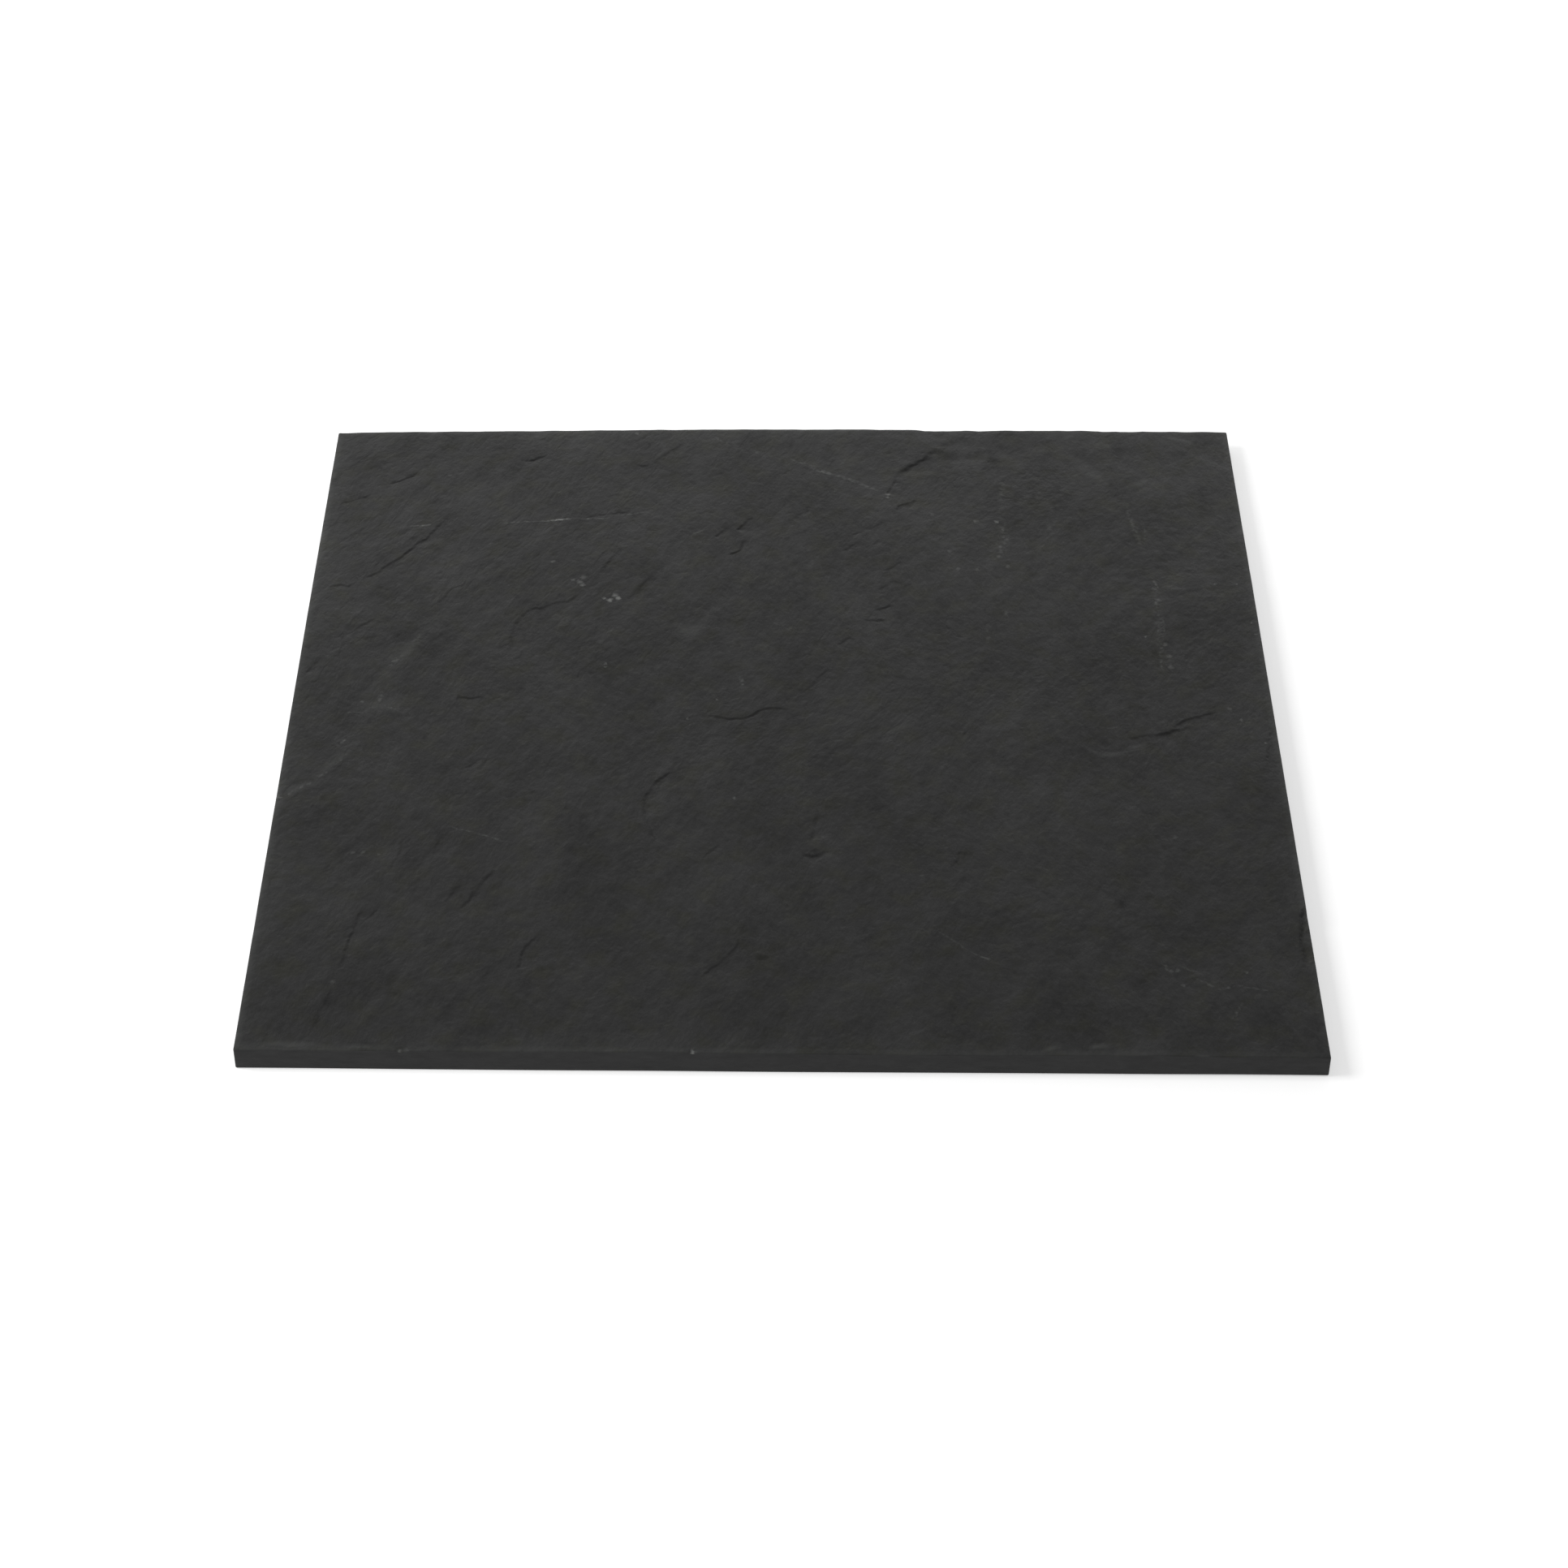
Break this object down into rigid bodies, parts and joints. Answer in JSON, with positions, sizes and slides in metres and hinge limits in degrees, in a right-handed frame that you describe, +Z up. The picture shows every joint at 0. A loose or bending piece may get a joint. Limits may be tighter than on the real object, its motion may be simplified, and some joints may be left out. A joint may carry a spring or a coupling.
{
  "type": "slate serving plate",
  "caption": "Square slab of natural slate with riven faces and sawn edges, standing on small foam feet, for serving or plating food.",
  "frame": {"origin": "centre of the plate in plan, on the surface that its feet stand on", "axes": "+Z up through the thickness, +X to the right along the front edge, +Y to the back; the picture looks at the front edge from -Y"},
  "size_m": [0.3, 0.302, 0.008],
  "materials": {
    "riven_slate": "riven, matt with a faint sheen",
    "eva_foam": "matt closed-cell foam"
  },
  "bodies": {
    "root": {"slate_slab": "riven_slate", "foot_front_left": "eva_foam", "foot_front_right": "eva_foam", "foot_back_left": "eva_foam", "foot_back_right": "eva_foam"}
  },
  "joints": []
}
